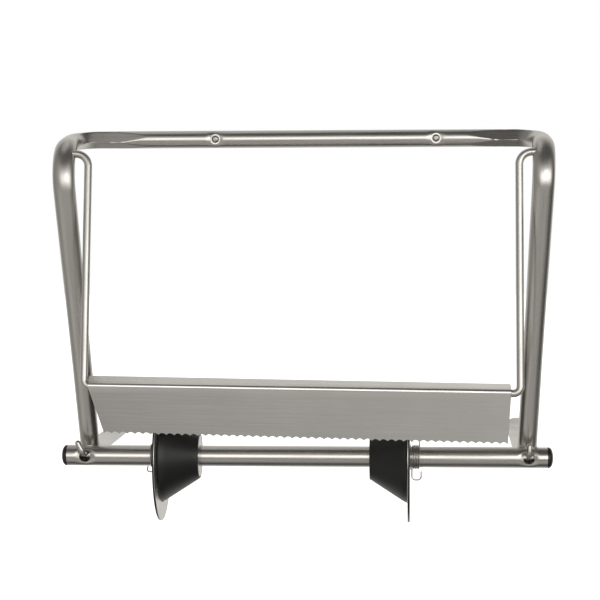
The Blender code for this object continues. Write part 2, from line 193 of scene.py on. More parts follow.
class Shader:
    """Adds nodes to a material's or the world's tree."""

    def __init__(self, tree):
        self.tree = tree

    def node(self, kind, settings=None, *values, output=0, **named):
        made = self.tree.nodes.new(kind)
        for key, value in (settings or {}).items():
            setattr(made, key, value)
        for key, value in [*enumerate(values), *named.items()]:
            slot = made.inputs[key if isinstance(key, int) else key.replace("_", " ")]
            if isinstance(value, Socket):
                self.tree.links.new(value.output, slot)
            else:
                slot.default_value = value
        return Socket(self, made.outputs[output])

    def mix(self, factor, first, second):
        made = self.tree.nodes.new("ShaderNodeMix")
        made.data_type = "RGBA"
        for key, value in ((0, factor), (6, first), (7, second)):
            if isinstance(value, Socket):
                self.tree.links.new(value.output, made.inputs[key])
            else:
                made.inputs[key].default_value = value
        return Socket(self, made.outputs[2])

    def between(self, value, start, end, low_out=0.0, high_out=1.0):
        """A smooth step of value from start to end."""
        return self.node(
            "ShaderNodeMapRange", {"interpolation_type": "SMOOTHSTEP"},
            value, start, end, low_out, high_out)

    def noise(self, vector, scale, detail=3.0, roughness=0.55):
        return self.node(
            "ShaderNodeTexNoise", {}, Vector=vector, Scale=scale, Detail=detail,
            Roughness=roughness)

    def stretched(self, vector, scale):
        return self.node("ShaderNodeMapping", {}, Vector=vector, Scale=scale)


def rgba(colour, gain=1.0):
    return (*(min(1.0, channel * gain) for channel in colour), 1.0)


def new_material(name):
    """A material, the builder of its tree and its shader node."""
    made = bpy.data.materials.new(name)
    made.use_nodes = True
    shader = Shader(made.node_tree)
    return made, shader, made.node_tree.nodes["Principled BSDF"]


def link(shader, bsdf, **sockets):
    for key, value in sockets.items():
        slot = bsdf.inputs[key.replace("_", " ")]
        if isinstance(value, Socket):
            shader.tree.links.new(value.output, slot)
        else:
            slot.default_value = value


def brushed_steel(name, colour, roughness, grain, along, across, use_uv=True, blotch=9.0,
                  relief=0.06 * MM):
    """Brushed stainless: fine lines run along the piece, with faint handling marks."""
    made, shader, bsdf = new_material(name)
    coords = shader.node("ShaderNodeTexCoord", output="UV" if use_uv else "Object")
    place = shader.node("ShaderNodeTexCoord", output="Object")
    lines = shader.noise(shader.stretched(coords, (along, across, across)), 1.0, 4.0, 0.65)
    broad = shader.noise(
        shader.stretched(coords, (along * 0.35, across * 0.22, across * 0.22)), 1.0, 2.0)
    marks = shader.noise(place, blotch, 3.0, 0.6)
    tone = shader.between(lines * 0.65 + broad * 0.35, 0.33, 0.67)
    smudge = shader.between(marks, 0.42, 0.68)
    body = shader.mix(tone, rgba(colour, 0.90), rgba(colour, 1.06))
    body = shader.mix(smudge * 0.35, body, rgba(colour, 0.88))
    rough = roughness - 0.06 * grain + tone * 0.13 * grain + smudge * 0.07
    bump = shader.node(
        "ShaderNodeBump", {}, Strength=0.10 + 0.16 * grain, Distance=relief,
        Height=lines * 0.8 + broad * 0.2)
    link(shader, bsdf, Base_Color=body, Roughness=rough, Metallic=1.0, Normal=bump)
    return made


def moulded_plastic(name, colour, roughness, pores):
    """Black moulded plastic: fine grain, faint scuffs that catch the light."""
    made, shader, bsdf = new_material(name)
    place = shader.node("ShaderNodeTexCoord", output="Object")
    fine = shader.noise(place, pores, 2.0)
    cloudy = shader.noise(place, 45.0, 3.0, 0.6)
    scuff = shader.between(cloudy, 0.52, 0.72)
    body = shader.mix(scuff * 0.5, rgba(colour), rgba(colour, 2.1))
    rough = roughness + scuff * 0.10 + (fine - 0.5) * 0.08
    bump = shader.node(
        "ShaderNodeBump", {}, Strength=0.22, Distance=0.08 * MM, Height=fine)
    link(shader, bsdf, Base_Color=body, Roughness=rough, Normal=bump)
    return made


FINISHES = {}


def finish_of(name):
    """Each finish is made once and shared."""
    if name in FINISHES:
        return FINISHES[name]
    look = bpy.context.scene.dispenser_finish
    grain = look.grain
    makers = {
        "tube_brushed": lambda: brushed_steel(
            "tube_brushed", look.tube, 0.27, grain, 22.0, 2600.0),
        "bar_brushed": lambda: brushed_steel(
            "bar_brushed", look.tube, 0.24, grain, 18.0, 2600.0),
        "wire_drawn": lambda: brushed_steel(
            "wire_drawn", look.wire, 0.32, grain, 35.0, 3500.0),
        "blade_brushed": lambda: brushed_steel(
            "blade_brushed", look.blade, 0.20, grain, 14.0, 2600.0, relief=0.40 * MM),
        "disc_satin": lambda: brushed_steel(
            "disc_satin", look.disc, 0.22, grain, 900.0, 900.0, use_uv=False, blotch=60.0),
        "screw_bright": lambda: brushed_steel(
            "screw_bright", rgba(look.wire, 0.6)[:3], 0.26, grain, 600.0, 600.0, use_uv=False,
            blotch=200.0),
        "cone_plastic": lambda: moulded_plastic("cone_plastic", look.plastic, 0.40, 2400.0),
        "cap_plastic": lambda: moulded_plastic("cap_plastic", look.plastic, 0.36, 3200.0),
    }
    FINISHES[name] = makers[name]()
    return FINISHES[name]


# ---------------------------------------------------------------- mesh helpers

def deselect():
    if bpy.context.object and bpy.context.object.mode != "OBJECT":
        bpy.ops.object.mode_set(mode="OBJECT")
    bpy.ops.object.select_all(action="DESELECT")


def make_active(piece):
    deselect()
    piece.select_set(True)
    bpy.context.view_layer.objects.active = piece


def apply_modifier(piece, kind, name, **settings):
    make_active(piece)
    made = piece.modifiers.new(name, kind)
    for key, value in settings.items():
        setattr(made, key, value)
    bpy.ops.object.modifier_apply(modifier=made.name)


def cut_with(piece, cutter):
    apply_modifier(piece, "BOOLEAN", "Cut", object=cutter, operation="DIFFERENCE",
                   solver="EXACT")
    bpy.data.objects.remove(cutter, do_unlink=True)


def face_outwards(piece):
    """Recalculate the normals of a closed piece."""
    make_active(piece)
    bpy.ops.object.mode_set(mode="EDIT")
    bpy.ops.mesh.select_all(action="SELECT")
    bpy.ops.mesh.normals_make_consistent(inside=False)
    bpy.ops.object.mode_set(mode="OBJECT")


def rod_cutter(radius, start, end, vertices=40):
    """A plain round cutter between two points."""
    start, end = Vector(start), Vector(end)
    axis = end - start
    deselect()
    bpy.ops.mesh.primitive_cylinder_add(
        vertices=vertices, radius=radius, depth=axis.length, location=(start + end) / 2,
        rotation=axis.to_track_quat("Z", "Y").to_euler())
    return bpy.context.object


def complete(piece, name, body, finish, nodes=(), smooth=35):
    """Name a piece, bake its place into its mesh, give it its finish, hang it on its body's
    empty and hide the parts it replaces.
    """
    make_active(piece)
    piece.name = name
    piece.data.name = name
    bpy.ops.object.transform_apply(location=True, rotation=True, scale=True)
    bpy.ops.object.shade_smooth_by_angle(angle=math.radians(smooth))
    piece.data.materials.clear()
    piece.data.materials.append(finish_of(finish))
    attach(piece, body)
    if nodes:
        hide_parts(*nodes)
    return piece


def lathe(profile, vertices=96, closed=True):
    """Turn a profile of (x, radius) about the bar's axis by extruding and scaling a circle."""
    deselect()
    (x, radius), rest = profile[0], profile[1:]
    filled = "NOTHING" if closed else "NGON"
    bpy.ops.mesh.primitive_circle_add(
        vertices=vertices, radius=radius, fill_type=filled, location=(x, 0, 0),
        rotation=(0, math.pi / 2, 0))
    made = bpy.context.object
    bpy.ops.object.transform_apply(location=True, rotation=True, scale=True)
    bpy.ops.object.mode_set(mode="EDIT")
    bpy.ops.mesh.select_all(action="SELECT")
    for next_x, next_radius in rest + ([profile[0]] if closed else []):
        bpy.ops.mesh.extrude_region_move(
            TRANSFORM_OT_translate={"value": (next_x - x, 0, 0)})
        ratio = next_radius / radius
        bpy.ops.transform.resize(value=(1, ratio, ratio), center_override=(next_x, 0, 0))
        x, radius = next_x, next_radius
    bpy.ops.mesh.select_all(action="SELECT")
    bpy.ops.mesh.remove_doubles(threshold=0.002 * MM)
    bpy.ops.mesh.normals_make_consistent(inside=False)
    bpy.ops.object.mode_set(mode="OBJECT")
    return made


def rounded_path(corners, bends, step=math.radians(3.5)):
    """Points along straight runs through the corners, each turned on its bend radius."""
    points = [Vector(corners[0])]
    for before, at, after, radius in zip(corners, corners[1:], corners[2:], bends):
        before, at, after = Vector(before), Vector(at), Vector(after)
        to_before, to_after = (before - at).normalized(), (after - at).normalized()
        opening = to_before.angle(to_after)
        turn = math.pi - opening
        reach = radius / math.tan(opening / 2)
        middle = at + (to_before + to_after).normalized() * radius / math.sin(opening / 2)
        start = at + to_before * reach - middle
        axis = start.cross(at + to_after * reach - middle).normalized()
        count = max(3, math.ceil(turn / step))
        for i in range(count + 1):
            points.append(middle + Matrix.Rotation(turn * i / count, 3, axis) @ start)
    points.append(Vector(corners[-1]))
    return points


def evened(points, spacing):
    """Split every run longer than the spacing into even steps."""
    made = [points[0]]
    for before, after in zip(points, points[1:]):
        count = max(1, math.ceil((after - before).length / spacing))
        made += [before.lerp(after, i / count) for i in range(1, count + 1)]
    return made


def sweep(name, points, section, sides):
    """Loft a tube through the points. section(point, run, rest, across, up) gives each
    ring's outline; the UVs are metres along the tube and roughly metres round it."""
    runs = [0.0]
    for before, after in zip(points, points[1:]):
        runs.append(runs[-1] + (after - before).length)
    shape = bmesh.new()
    uv = shape.loops.layers.uv.new("UVMap")
    starts_along_x = abs((points[1] - points[0]).normalized().x) > 0.7
    across = Vector((0, 0, 1)) if starts_along_x else Vector((1, 0, 0))
    rings = []
    for i, point in enumerate(points):
        before, after = points[max(i - 1, 0)], points[min(i + 1, len(points) - 1)]
        forward = (after - before).normalized()
        across = (across - forward * across.dot(forward)).normalized()
        up = forward.cross(across)
        outline = section(point, runs[i], runs[-1] - runs[i], across, up)
        rings.append([shape.verts.new(point + across * a + up * b) for a, b in outline])
    girth = math.tau * (Vector(outline[0]).length + 4 * MM)
    for k, (ring, following) in enumerate(zip(rings, rings[1:])):
        for i in range(sides):
            j = (i + 1) % sides
            face = shape.faces.new((ring[i], ring[j], following[j], following[i]))
            for loop, (step, turn) in zip(
                    face.loops, ((0, i), (0, i + 1), (1, i + 1), (1, i))):
                loop[uv].uv = (runs[k + step], girth * turn / sides)
    for ring in (rings[0], rings[-1]):
        shape.faces.new(ring)
    bmesh.ops.recalc_face_normals(shape, faces=shape.faces)
    mesh = bpy.data.meshes.new(name)
    shape.to_mesh(mesh)
    shape.free()
    piece = bpy.data.objects.new(name, mesh)
    bpy.context.scene.collection.objects.link(piece)
    return piece


def circle_outline(radius, sides):
    return [
        (radius * math.cos(math.tau * i / sides), radius * math.sin(math.tau * i / sides))
        for i in range(sides)
    ]


def swept_wire(name, points, radius, sides=24, round_start=False, round_end=False):
    """A wire with a domed tip wherever its end shows."""
    def section(point, run, rest, across, up):
        near = min(run if round_start else radius, rest if round_end else radius)
        near = min(near, radius)
        return circle_outline(max(0.02 * radius, math.sqrt(
            radius ** 2 - (radius - near) ** 2)), sides)

    dome = [radius * (1 - math.cos(math.radians(a))) for a in (12, 28, 45, 62, 78, 90)]
    for wanted, ends in ((round_start, (0, 1)), (round_end, (-1, -2))):
        if wanted:
            tip, inner = points[ends[0]], points[ends[1]]
            run = (inner - tip).length
            steps = [tip.lerp(inner, d / run) for d in dome if d < run]
            if ends[0] == 0:
                points = [tip] + steps + points[1:]
            else:
                points = points[:-1] + steps[::-1] + [tip]
    return sweep(name, points, section, sides)


def smooth_blend(first, second, t):
    t = min(1.0, max(0.0, t))
    t = t * t * (3 - 2 * t)
    return first + (second - first) * t


def settings(group):
    return getattr(bpy.context.scene, "dispenser_" + group)


# ---------------------------------------------------------------- the pieces

def frame_centreline(tube):
    half = [
        (tube.toe_x + 0.5 * MM, FOOT_END, tube.heel_z + TOE_RISE),
        (tube.toe_x, tube.toe_y, tube.heel_z),
        (tube.heel_x, tube.heel_y, tube.heel_z),
        (tube.elbow_x, tube.elbow_y, tube.elbow_z),
        (tube.elbow_x, tube.top_y, TOP_AXIS),
    ]
    corners = [(-x, y, z) for x, y, z in half] + half[::-1]
    bends = [tube.toe_bend, tube.heel_bend, tube.elbow_bend, tube.corner_bend]
    return evened(rounded_path(corners, bends + bends[::-1]), 2 * MM)


class DISPENSER_OT_frame_tube(bpy.types.Operator):
    """The bent tube with pressed corners, flattened feet and its holes"""
    bl_idname = "dispenser.frame_tube"
    bl_label = "Frame tube"

    sides = 64
    foot_corner = 12 * MM
    flatten_length = 48 * MM
    elbow_half = (11.6 * MM, 8.6 * MM)
    arm_half = (10.3 * MM, 9.2 * MM)
    foot_half = (14 * MM, FOOT_HALF_THICK)
    screw_hole, screw_dent_reach, screw_dent = 5.5 * MM, 10.5 * MM, 1.1 * MM
    seat_depth, shank_hole = 3.2 * MM, 2.4 * MM
    pivot_bore = BAIL_RADIUS + GAP

    # For each side: which way a flat faces, its share of the press depth, and the share of
    # the run over which it keeps its full depth.
    flats = {
        -1: (((0.10, -0.93, 0.30), 1.0, 0.35), ((0.15, -0.52, -0.84), 0.9, 0.3),
             ((0.3, 0.2, 0.93), 0.5, 0.2)),
        1: (((-0.10, -0.90, 0.42), 0.9, 0.3), ((-0.15, -0.62, -0.77), 0.7, 0.3),
            ((-0.3, 0.2, 0.93), 0.5, 0.2)),
    }

    def half_sizes(self, point, tip):
        """Half width and height: round on top, oval on the arms, flat on the feet."""
        tube = settings("tube")
        past_heel = point.y - tube.heel_y + tube.heel_bend
        if past_heel > 0 and point.z < tube.heel_z + 2 * tube.heel_bend:
            flat = (past_heel - point.z) / self.flatten_length
            wide = smooth_blend(self.arm_half[0], self.foot_half[0], flat)
            if tip < self.foot_corner:
                wide -= self.foot_corner - math.sqrt(
                    self.foot_corner ** 2 - (self.foot_corner - tip) ** 2)
            return wide, smooth_blend(self.arm_half[1], self.foot_half[1], flat)
        if point.z < tube.elbow_z:
            low_share = (tube.elbow_z - point.z) / (0.75 * tube.elbow_z)
            return tuple(smooth_blend(top, bottom, low_share)
                         for top, bottom in zip(self.elbow_half, self.arm_half))
        flat = (tube.top_y - point.y - 6 * MM) / (50 * MM)
        return tuple(smooth_blend(tube.radius, half, flat) for half in self.elbow_half)

    def outline(self, point, run, rest, across, up):
        """The ring at a point, then the flats that the press left at the corners."""
        wide, tall = self.half_sizes(point, min(run, rest))
        corner = min(wide, tall)
        ring = []
        for i in range(self.sides):
            angle = (i + 0.5) * math.tau / self.sides
            if corner < self.foot_half[1] * 2:
                a = math.copysign(wide - corner, math.cos(angle)) + corner * math.cos(angle)
                b = math.copysign(tall - corner, math.sin(angle)) + corner * math.sin(angle)
            else:
                a, b = wide * math.cos(angle), tall * math.sin(angle)
            ring.append((a, b))
        return self.pressed(ring, point, across, up)

    def pressed(self, ring, point, across, up):
        """Flats where the top bar runs into a corner; they fade out along the bar."""
        tube = settings("tube")
        side = 1 if point.x > 0 else -1
        corner = Vector((side * (tube.elbow_x - 0.3 * tube.corner_bend),
                         tube.top_y - 0.3 * tube.corner_bend, TOP_AXIS))
        if point.z < tube.elbow_z:
            return ring
        away = (point - corner).length
        made = []
        for a, b in ring:
            offset = across * a + up * b
            for direction, depth, reach in self.flats[side]:
                normal = Vector(direction).normalized()
                fade = 1 - smooth_blend(0, 1, (away / tube.press_run - reach) / (1 - reach))
                proud = offset.dot(normal) - tube.radius + tube.press_depth * depth * fade
                if proud > 0:
                    offset -= normal * proud
            made.append((offset.dot(across), offset.dot(up)))
        return made

    def execute(self, context):
        tube = context.scene.dispenser_tube
        piece = sweep("frame_tube_bent", frame_centreline(tube), self.outline, self.sides)
        for side, sign in SIDES:
            screw = centre(f"mount_screw_{side}")
            dent_round(piece, Vector((screw.x, 0, TOP_AXIS)), Vector((0, 1, 0)),
                       self.screw_hole, self.screw_dent_reach, self.screw_dent, tube.top_y)
            seat_y = low(f"mount_screw_{side}").y + self.seat_depth
            bail_x = low("blade_bail").x if sign < 0 else high("blade_bail").x
            hook_x, root_y = hook_axis(side), high(f"bar_hook_{side}").y
            for radius, start, end in (
                (self.screw_hole, (screw.x, -20 * MM, TOP_AXIS), (screw.x, seat_y, TOP_AXIS)),
                (self.shank_hole, (screw.x, tube.top_y - 6 * MM, TOP_AXIS),
                 (screw.x, tube.top_y + 20 * MM, TOP_AXIS)),
                (self.pivot_bore, (bail_x - sign * 20 * MM, PIVOT.y, PIVOT.z),
                 (bail_x + sign * MM, PIVOT.y, PIVOT.z)),
                (HOOK_SOCKET_RADIUS, (hook_x, 0, HOOK_HEIGHT),
                 (hook_x, root_y + GAP, HOOK_HEIGHT)),
            ):
                cut_with(piece, rod_cutter(radius, start, end))
        complete(piece, "frame_tube_bent", "frame", "tube_brushed",
                 ["frame_tube"], smooth=28)
        return {"FINISHED"}


def hook_axis(side):
    """X of a hook's straight part; both hooks' boxes end one wire radius past it."""
    return high(f"bar_hook_{side}").x - HOOK_WIRE_RADIUS


def dent_round(piece, middle, axis, hole, reach, depth, behind):
    """Press the wall in round a hole: full depth at its rim, easing to none at the reach."""
    for vert in piece.data.vertices:
        offset = vert.co - middle
        offset -= axis * offset.dot(axis)
        away = offset.length
        if away < reach and vert.co.dot(axis) < behind:
            left = 1 - max(0.0, away - hole) / (reach - hole)
            vert.co += axis * depth * left * left


class DISPENSER_OT_mount_screws(bpy.types.Operator):
    """Two pan-head screws with cross recesses"""
    bl_idname = "dispenser.mount_screws"
    bl_label = "Mount screws"

    shank, thread_root = 2.1 * MM, 1.6 * MM
    pitch = 1.4 * MM
    slot_length, slot_width, slot_depth = 4.4 * MM, 1.1 * MM, 1.3 * MM
    turned = {"left": 0.35, "right": 0.1}

    def execute(self, context):
        for side, _ in SIDES:
            node = f"mount_screw_{side}"
            start, end, mid = low(node), high(node), centre(node)
            head = (end.x - start.x) / 2
            profile = [(0, 0.35 * head), (0.18 * MM, 0.62 * head), (0.6 * MM, 0.84 * head),
                       (1.2 * MM, 0.96 * head), (1.9 * MM, head), (2.7 * MM, head),
                       (2.7 * MM, self.shank), (6 * MM, self.shank)]
            tail = end.y - start.y
            for i in range(int((tail - 14 * MM) / self.pitch)):
                at = 8 * MM + i * self.pitch
                profile += [(at, self.thread_root), (at + 0.35 * self.pitch, self.shank),
                            (at + 0.55 * self.pitch, self.shank),
                            (at + 0.9 * self.pitch, self.thread_root)]
            profile += [(tail - 4 * MM, 1.5 * MM), (tail, 0.1 * MM)]
            screw = lathe(profile, 40, closed=False)
            fill_end(screw, tail)
            for size in ((self.slot_length, self.slot_width),
                         (self.slot_width, self.slot_length)):
                deselect()
                bpy.ops.mesh.primitive_cube_add(size=1, location=(0, 0, 0))
                recess = bpy.context.object
                recess.scale = (2 * self.slot_depth, *size)
                bpy.ops.object.transform_apply(location=False, rotation=False, scale=True)
                cut_with(screw, recess)
            screw.rotation_euler = (self.turned[side], 0, 0)
            make_active(screw)
            bpy.ops.object.transform_apply(location=False, rotation=True, scale=False)
            screw.rotation_euler = (0, 0, math.pi / 2)
            screw.location = (mid.x, start.y, mid.z)
            complete(screw, f"screw_{side}", "frame", "screw_bright", [node])
        return {"FINISHED"}


def fill_end(piece, x):
    """Close the open loop of a turned piece at x."""
    make_active(piece)
    bpy.ops.object.mode_set(mode="EDIT")
    bpy.ops.mesh.select_mode(type="VERT")
    bpy.ops.mesh.select_all(action="DESELECT")
    bpy.ops.object.mode_set(mode="OBJECT")
    for vert in piece.data.vertices:
        vert.select = abs(vert.co.x - x) < 0.01 * MM
    bpy.ops.object.mode_set(mode="EDIT")
    bpy.ops.mesh.edge_face_add()
    face_outwards(piece)


class DISPENSER_OT_roll_bar(bpy.types.Operator):
    """The hollow roll bar with dimpled holes for the hooks"""
    bl_idname = "dispenser.roll_bar"
    bl_label = "Roll bar"

    sides = 96
    near = 15 * MM          # fine rings this far each side of a hole, and past the ends
    thin_from = 14 * MM     # past a hole by this much, the bore has its full radius

    def execute(self, context):
        bar = context.scene.dispenser_bar
        hook_x = hook_axis("right")
        near = self.near
        marks = [-BAR_HALF, -hook_x - near, -hook_x + near, hook_x - near, hook_x + near,
                 BAR_HALF]
        points = []
        for start, end, spacing in zip(
                marks, marks[1:], (5 * MM, 1 * MM, 30 * MM, 1 * MM, 5 * MM)):
            run = evened([Vector((start, 0, 0)), Vector((end, 0, 0))], spacing)
            points += run if not points else run[1:]

        def section(point, run, rest, across, up):
            return circle_outline(bar.radius, self.sides)

        piece = sweep("roll_bar_tube", points, section, self.sides)
        for _, sign in SIDES:
            middle = Vector((sign * hook_x, 0, 0))
            dent_round(piece, middle, Vector((0, 1, 0)), bar.hole_radius,
                       bar.dimple_reach, bar.dimple, 0)
        inner = bar.radius - bar.wall
        cut_with(piece, rod_cutter(
            inner - 1.0 * MM, (-BAR_HALF - near, 0, 0), (BAR_HALF + near, 0, 0), 64))
        for _, sign in SIDES:
            x = sign * hook_x
            cut_with(piece, rod_cutter(
                inner, (sign * (hook_x + self.thin_from), 0, 0),
                (sign * (BAR_HALF + near), 0, 0), 64))
            cut_with(piece, rod_cutter(bar.hole_radius, (x, -30 * MM, 0), (x, 0, 0)))
            cut_with(piece, rod_cutter(
                HOOK_SOCKET_RADIUS, (x, 0, HOOK_HEIGHT), (x, 30 * MM, HOOK_HEIGHT)))
        complete(piece, "roll_bar_tube", "frame", "bar_brushed", ["roll_bar"],
                 smooth=30)
        return {"FINISHED"}


class DISPENSER_OT_end_caps(bpy.types.Operator):
    """Domed plastic caps in the bar's ends"""
    bl_idname = "dispenser.end_caps"
    bl_label = "End caps"

    def execute(self, context):
        for side, sign in SIDES:
            node = f"end_cap_{side}"
            tip = high(node).x if sign > 0 else low(node).x
            reach = abs(tip) - BAR_HALF
            plug = BAR_RADIUS - 1.9 * MM
            profile = [(-12 * MM, 0.8 * plug), (-11.5 * MM, 0.96 * plug), (-10.5 * MM, plug),
                       (GAP, plug), (GAP, BAR_RADIUS - 0.25 * MM),
                       (0.55 * MM, BAR_RADIUS), (1.2 * MM, BAR_RADIUS)]
            for degrees in range(8, 89, 8):
                angle = math.radians(degrees)
                profile.append((
                    1.2 * MM + (reach - 1.2 * MM) * math.sin(angle),
                    0.15 * MM + (BAR_RADIUS - 0.15 * MM) * math.cos(angle) ** 0.8))
            cap = lathe(profile, 64, closed=False)
            fill_end(cap, profile[-1][0])
            cap.scale = (sign, 1, 1)
            cap.location = (sign * BAR_HALF, 0, 0)
            make_active(cap)
            bpy.ops.object.transform_apply(location=True, rotation=True, scale=True)
            if sign < 0:
                face_outwards(cap)
            complete(cap, f"cap_{side}", "frame", "cap_plastic", [node])
        return {"FINISHED"}


class DISPENSER_OT_bar_hooks(bpy.types.Operator):
    """Wire hooks that come through the bar and turn up in front of it"""
    bl_idname = "dispenser.bar_hooks"
    bl_label = "Bar hooks"

    bend = 6 * MM
    lean = {"left": -7.4 * MM, "right": 0.0}

    def execute(self, context):
        for side, _ in SIDES:
            node = f"bar_hook_{side}"
            x, root, radius = hook_axis(side), high(node), HOOK_WIRE_RADIUS
            front = low(node).y + radius
            corners = [(x, root.y, HOOK_HEIGHT), (x, front, HOOK_HEIGHT),
                       (x + self.lean[side], front, root.z - radius)]
            hook = swept_wire(
                node, rounded_path(corners, [self.bend]), radius, round_end=True)
            complete(hook, f"hook_{side}", "frame", "wire_drawn", [node])
        return {"FINISHED"}


class DISPENSER_OT_cones(bpy.types.Operator):
    """Core cones with their discs, end rings, sleeves and washers"""
    bl_idname = "dispenser.cones"
    bl_label = "Core cones"

    sleeve_out = 14 * MM
    bore = sleeve_out + GAP
    small_end = 24.3 * MM
    facing_sheet = 0.7 * MM

    def place(self, piece, at, sign):
        """Move a piece that was turned for the right side to its own side."""
        make_active(piece)
        piece.scale = (sign, 1, 1)
        piece.location = (at, 0, 0)
        bpy.ops.object.transform_apply(location=True, rotation=True, scale=True)
        if sign < 0:
            face_outwards(piece)
        return piece

    def cone(self, length_x, big, ring_r, ring_t):
        """The plastic cone, with a counterbore for its end ring."""
        small, bore, fillet = self.small_end, self.bore, 3.5 * MM
        slope = (big - 1.2 * MM - small) / (length_x - fillet)
        profile = [(-length_x + ring_t, bore), (-length_x + ring_t, ring_r),
                   (-length_x, ring_r), (-length_x, small - 1.0 * MM),
                   (-length_x + 0.3 * MM, small - 0.3 * MM), (-length_x + 1.0 * MM, small)]
        for k in range(1, 8):
            along = (length_x - fillet - 1.0 * MM) * k / 7
            profile.append((-length_x + 1.0 * MM + along, small + slope * along))
        top = profile[-1]
        for degrees in (20, 45, 70, 90):
            angle = math.radians(degrees)
            profile.append((top[0] + (fillet - 0.4 * MM) * math.sin(angle),
                            top[1] + (big - top[1]) * (1 - math.cos(angle)) ** 0.7))
        profile += [(-GAP, big), (-GAP, bore)]
        return lathe(profile, 128)

    def execute(self, context):
        for side, sign in SIDES:
            body = f"{side}_cone"
            disc, cone = f"flange_disc_{side}", f"cone_{side}"
            face = low(disc).x if sign > 0 else high(disc).x
            disc_r, disc_t = high(disc).z, high(disc).x - low(disc).x
            cone_x = abs(face - (low(cone).x if sign > 0 else high(cone).x))
            bore, sheet = self.bore, self.facing_sheet
            sleeve_in = BAR_RADIUS + GAP
            node = f"cone_end_ring_{side}"
            inner = low(node).x if sign > 0 else high(node).x
            thick, ring_r = high(node).x - low(node).x, high(node).z
            piece = self.place(
                self.cone(cone_x, high(cone).z, ring_r + 0.2 * MM, thick + 0.2 * MM),
                face, sign)
            complete(piece, f"core_cone_{side}", body, "cone_plastic", [cone],
                     smooth=24)
            facing = [(0, bore), (0, disc_r - 0.25 * MM), (0.2 * MM, disc_r),
                      (sheet, disc_r), (sheet, bore)]
            backing = [(sheet + 0.05 * MM, bore), (sheet + 0.05 * MM, disc_r),
                       (disc_t - 0.6 * MM, disc_r), (disc_t - 0.25 * MM, disc_r - 0.2 * MM),
                       (disc_t, disc_r - 0.7 * MM), (disc_t, 30 * MM),
                       (disc_t - 0.5 * MM, 29 * MM), (disc_t - 0.5 * MM, bore)]
            piece = self.place(lathe(facing, 192), face, sign)
            complete(piece, f"disc_facing_{side}", body, "disc_satin", [disc])
            piece = self.place(lathe(backing, 192), face, sign)
            complete(piece, f"disc_backing_{side}", body, "cone_plastic",
                     [disc])
            ring = [(0, sleeve_in + 0.4 * MM), (0, ring_r - 0.6 * MM),
                    (0.15 * MM, ring_r - 0.2 * MM), (0.5 * MM, ring_r), (thick, ring_r),
                    (thick, sleeve_in), (0.3 * MM, sleeve_in)]
            piece = self.place(lathe(ring), inner, sign)
            self.drill_pin_hole(piece, inner, sign)
            complete(piece, f"end_ring_{side}", body, "disc_satin", [node])
            for node, outer in ((f"cone_sleeve_{side}", self.sleeve_out),
                                (f"outer_washer_{side}", high(f"outer_washer_{side}").z)):
                start = low(node).x if sign > 0 else high(node).x
                wide = high(node).x - low(node).x
                ring = [(0, sleeve_in), (0, outer - 0.3 * MM), (0.3 * MM, outer),
                        (wide - 0.3 * MM, outer), (wide, outer - 0.3 * MM), (wide, sleeve_in)]
                piece = self.place(lathe(ring, 64), start, sign)
                name = node.replace("cone_sleeve", "sleeve").replace("outer_washer", "washer")
                complete(piece, name, body, "disc_satin", [node])
        return {"FINISHED"}

    def drill_pin_hole(self, piece, x, sign):
        """A small hole low on the end ring."""
        radius, y, z, reach = 1.1 * MM, -6 * MM, -15.5 * MM, sign * 5 * MM
        cut_with(piece, rod_cutter(radius, (x - reach, y, z), (x + reach, y, z), 20))


class DISPENSER_OT_spring_clips(bpy.types.Operator):
    """Coils of spring wire with finger ears"""
    bl_idname = "dispenser.spring_clips"
    bl_label = "Spring clips"

    turns = 4.5
    pitch = 1.75 * MM
    wire = 0.75 * MM
    ear_reach = 12.7 * MM
    ear_bend = 3.9 * MM
    ear_root, ear_root_bend, ear_clear = 2.6 * MM, 1.6 * MM, 3.2 * MM
    ear_width = {"inner": 9.8 * MM, "outer": 8 * MM}
    first_angle = {"left": math.radians(-30), "right": math.radians(-90)}

    def ear(self, anchor, along, radial, tangent, width):
        """The wire turns off the coil, out, across and back towards the bar."""
        root = anchor + tangent * self.ear_root
        out = root + radial * self.ear_reach
        back = out + along * width
        home = back - radial * (self.ear_reach - self.ear_clear)
        bends = [self.ear_root_bend, self.ear_bend, self.ear_bend]
        return rounded_path([anchor, root, out, back, home], bends, math.radians(9))[1:]

    def execute(self, context):
        for side, sign in SIDES:
            node = f"spring_clip_{side}"
            coil_r = BAR_RADIUS + GAP + self.wire
            washer = f"outer_washer_{side}"
            face = high(washer).x if sign > 0 else low(washer).x
            inner = face + sign * (GAP + self.wire)

            def on_coil(turn):
                angle = self.first_angle[side] + turn * math.tau
                return Vector((inner + sign * turn * self.pitch,
                               -coil_r * math.cos(angle), coil_r * math.sin(angle)))

            def radial(turn):
                point = on_coil(turn)
                return Vector((0, point.y, point.z)).normalized()

            def tangent(turn):
                return (on_coil(turn + 0.01) - on_coil(turn - 0.01)).normalized()

            steps = round(self.turns * 40)
            coil = [on_coil(self.turns * i / steps) for i in range(steps + 1)]
            outward = Vector((sign, 0, 0))
            first = self.ear(
                coil[0], outward, radial(0), -tangent(0), self.ear_width["inner"])
            last = self.ear(coil[-1], -outward, radial(self.turns), tangent(self.turns),
                            self.ear_width["outer"])
            path = first[::-1] + coil + last
            piece = swept_wire(node, path, self.wire, 14, True, True)
            complete(piece, f"clip_{side}", f"{side}_clip", "wire_drawn",
                     [node])
        return {"FINISHED"}


def blade_ends():
    """Each end of the blade: the fold's place, the face's lean and the cut's slant."""
    return (
        (Vector((-217.3 * MM, -91 * MM, 83.4 * MM)), math.radians(29), 12 * MM),
        (Vector((212.6 * MM, -87.5 * MM, 77.7 * MM)), math.radians(21), -2.4 * MM),
    )


